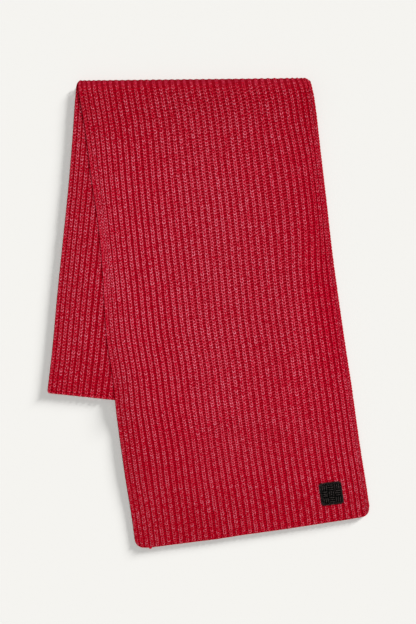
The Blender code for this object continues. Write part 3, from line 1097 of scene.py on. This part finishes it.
pad_finish = Finish(
    "black_patch_ground", Base_Color=PATCH_BLACK, Roughness=0.9, Specular_IOR_Level=0.0
)
thread = Finish("black_embroidery_thread", Specular_IOR_Level=0.05)
# Painted highlight: the thread's lighter mottle is painted sheen of the satin thread on black.
# The same noise also sets its roughness and its bumps.
fray_and_sheen = thread.noise(thread.node("ShaderNodeTexCoord", output="Object"), THREAD_SCALE, 2.0)
thread_finish = thread.wear(
    Base_Color=thread.mix(fray_and_sheen.ramp(0.35, 0.7), PATCH_BLACK, THREAD_SHINE),
    Roughness=fray_and_sheen.ramp(0.3, 0.8, 0.4, 0.65), Normal=thread.bump(0.4, 0.2 * MM, fray_and_sheen),
)
print("patch finishes:", pad_finish.material.name, thread_finish.name)

# %% Patch
PATCH_SIZE, PATCH_CORNER, PATCH_RIB, PATCH_ALONG = 24.5, 3.0, 32.65, 455 * MM
PAD_INSET, PAD_THICK, PAD_EDGE = 0.5, 0.3, 0.3
PAD_ABOVE = 0.15  # between the wall's face and the pad


def sew_onto_cloth(mesh):
    """Flat places in mm, with the middle at 0, go to the patch's place on the cloth."""
    flat = points_of(mesh)
    left, right = side_edges(PATCH_ALONG)
    share = (room(PATCH_RIB + 0.5) - room(PATCH_RIB - 0.5)) / room(float(RIBS))
    rib = PATCH_RIB + flat[:, 0] * MM / ((right - left) * share)
    along = PATCH_ALONG - flat[:, 1] * MM
    points = folded(rib, along, WALL + (flat[:, 2] + PAD_ABOVE) * MM)
    points[:, 2] += swell(rib, along)
    place_points(mesh, points)


bm = bmesh.new()
bm.loops.layers.uv.new("yarn")
bmesh.ops.create_grid(bm, x_segments=1, y_segments=1, size=PATCH_SIZE / 2 - PAD_INSET)
bmesh.ops.bevel(
    bm, geom=bm.verts[:], offset=PATCH_CORNER, offset_type="OFFSET", affect="VERTICES",
    segments=5, profile=0.5, material=-1,
)
thicken(bm, PAD_THICK)
rounded = [edge for edge in bm.edges if all(v.co.z > PAD_THICK / 2 for v in edge.verts)]
bmesh.ops.bevel(
    bm, geom=rounded, offset=PAD_EDGE, offset_type="OFFSET", affect="EDGES",
    segments=2, profile=0.5, material=-1,
)
bmesh.ops.recalc_face_normals(bm, faces=bm.faces)
pad_mesh = mesh_from(bm, "patch_pad")
sew_onto_cloth(pad_mesh)
patch_pad = add_piece("patch_pad", pad_mesh, pad_finish.material)
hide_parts("patch")

# %% Patch threads
BORDER, BORDER_STEP, BORDER_OVERHANG = 2.4, 1.4, 0.5
THREAD_STEP, BLOCK_OVERLAP = 2.2, 1.06
THREAD_WIDE, SATIN_WIDE, THREAD_TALL = 0.78, 0.56, 0.8

bm = bmesh.new()
bm.loops.layers.uv.new("yarn")


def lay_thread(x, y, angle, long, wide=THREAD_WIDE, lift=PAD_THICK + 0.1):
    """One thread, a slim ball that is drawn out to its length."""
    place = Matrix.Translation((x, y, lift)) @ Matrix.Rotation(angle, 4, "Z")
    place = place @ Matrix.Diagonal((long / 2, wide, THREAD_TALL, 1)) @ rotated(90, "Y")
    bmesh.ops.create_uvsphere(
        bm, u_segments=6, v_segments=6, radius=1, matrix=place, calc_uvs=True
    )


block_size = (PATCH_SIZE - 2 * BORDER) / 3
threads_a_block = round(block_size / THREAD_STEP)
for block_x in (-1, 0, 1):
    for block_y in (-1, 0, 1):
        lengthwise = (block_x + block_y) % 2 == 0
        for i in range(threads_a_block):
            offset = ((i + 0.5) / threads_a_block - 0.5) * block_size + chance.normal(0, 0.06)
            x, y = block_x * block_size, block_y * block_size
            x, y = (x + offset, y) if lengthwise else (x, y + offset)
            long = block_size * BLOCK_OVERLAP + chance.normal(0, 0.15)
            lay_thread(x, y, math.pi / 2 * lengthwise, long)

# The border runs round the rounded square and leans each stitch across it.
half, straight = PATCH_SIZE / 2 - BORDER / 2, PATCH_SIZE - 2 * PATCH_CORNER
reach = PATCH_CORNER - BORDER / 2
curve = math.pi / 2 * reach
side_run = straight + curve
stitches = round(4 * side_run / BORDER_STEP)
for i in range(stitches):
    side, run = divmod(i * 4 * side_run / stitches, side_run)
    if run < straight:
        x, y, angle = half, run - straight / 2, 0.0
    else:
        angle = (run - straight) / curve * math.pi / 2
        x = straight / 2 + reach * math.cos(angle)
        y = straight / 2 + reach * math.sin(angle)
    turned = side * math.pi / 2
    x, y = Matrix.Rotation(turned, 2) @ Vector((x, y))
    long = BORDER + BORDER_OVERHANG + chance.normal(0, 0.12)
    lay_thread(x, y, angle + turned, long, wide=SATIN_WIDE, lift=PAD_THICK)
thread_mesh = mesh_from(bm, "patch_threads")
sew_onto_cloth(thread_mesh)
patch_threads = add_piece("patch_threads", thread_mesh, thread_finish)

# %% [markdown]
# ## The table and the light
# The scarf lies on a plain pale table. A broad soft light from above and a pale room
# show the knitting without hard shadows. That light is there twice, once for the scarf
# and once for the table, where it casts no shadow, so no dark line runs along the rims.
# A low broad light from the upper right gives the soft drop shadow. It reaches the
# table alone, and only the stitches of the two legs stand in its way: the roll of the
# fold is three times as high, and its long shadow would spoil the even border.

# %% Table
TABLE_HALF = 4
TABLE_PALE = (0.4637, 0.4589, 0.4436, 1)

bm = bmesh.new()
bmesh.ops.create_grid(bm, x_segments=1, y_segments=1, size=TABLE_HALF)
table_top = Finish("pale_table", Base_Color=TABLE_PALE, Roughness=0.9, Specular_IOR_Level=0.0)
table = bpy.data.objects.new("table_top", mesh_from(bm, "table_top"))
table.data.materials.append(table_top.material)
scene.collection.objects.link(table)
print("the table is", 2 * TABLE_HALF, "m wide")

# %% Lights
# Angles are in degrees. The spread is how wide the light looks, and softens its shadows.
OVERHEAD = {"strength": 2.56, "elevation": 74, "azimuth": 35, "spread": 32}
LOW = {"strength": 10.87, "elevation": 14.5, "azimuth": 38, "spread": 13.5}
ROOM_COLOUR, ROOM_STRENGTH = (1, 0.995, 0.98, 1), 0.32


def sun(name, lit, blockers, strength, elevation, azimuth, spread):
    """A light that reaches some pieces only, and casts shadows of the blockers."""
    lamp = bpy.data.lights.new(name, "SUN")
    lamp.energy = strength
    lamp.angle = math.radians(spread)
    light = bpy.data.objects.new(name, lamp)
    e, a = math.radians(elevation), math.radians(azimuth)
    towards = Vector((math.cos(e) * math.cos(a), math.cos(e) * math.sin(a), math.sin(e)))
    light.rotation_euler = towards.to_track_quat("Z", "Y").to_euler()
    light.light_linking.receiver_collection = lit
    light.light_linking.blocker_collection = blockers
    scene.collection.objects.link(light)
    print("light:", name)


def gather(name, pieces):
    collection = bpy.data.collections.new(name)
    for piece in pieces:
        collection.objects.link(piece)
    return collection


knitted = wales + bars + edges
the_scarf = gather("the_scarf", knitted + [ground_cloth, patch_pad, patch_threads])
the_table = gather("the_table", [table])
on_legs = [piece for piece in knitted if "turn" not in piece.name]
the_legs = gather("stitches_of_the_legs", on_legs)

sun("light_above", the_scarf, None, **OVERHEAD)
sun("light_above_table", the_table, the_table, **OVERHEAD)
sun("light_low_on_table", the_table, the_legs, **LOW)

world = bpy.data.worlds.new("pale_room")
world.use_nodes = True
background = world.node_tree.nodes["Background"]
background.inputs["Color"].default_value = ROOM_COLOUR
background.inputs["Strength"].default_value = ROOM_STRENGTH
scene.world = world

# %% [markdown]
# The pieces that are knitted or sewn on the cloth, gathered in one list.

# %% The knitted and sewn pieces
wales + bars + edges + [patch_pad, patch_threads]
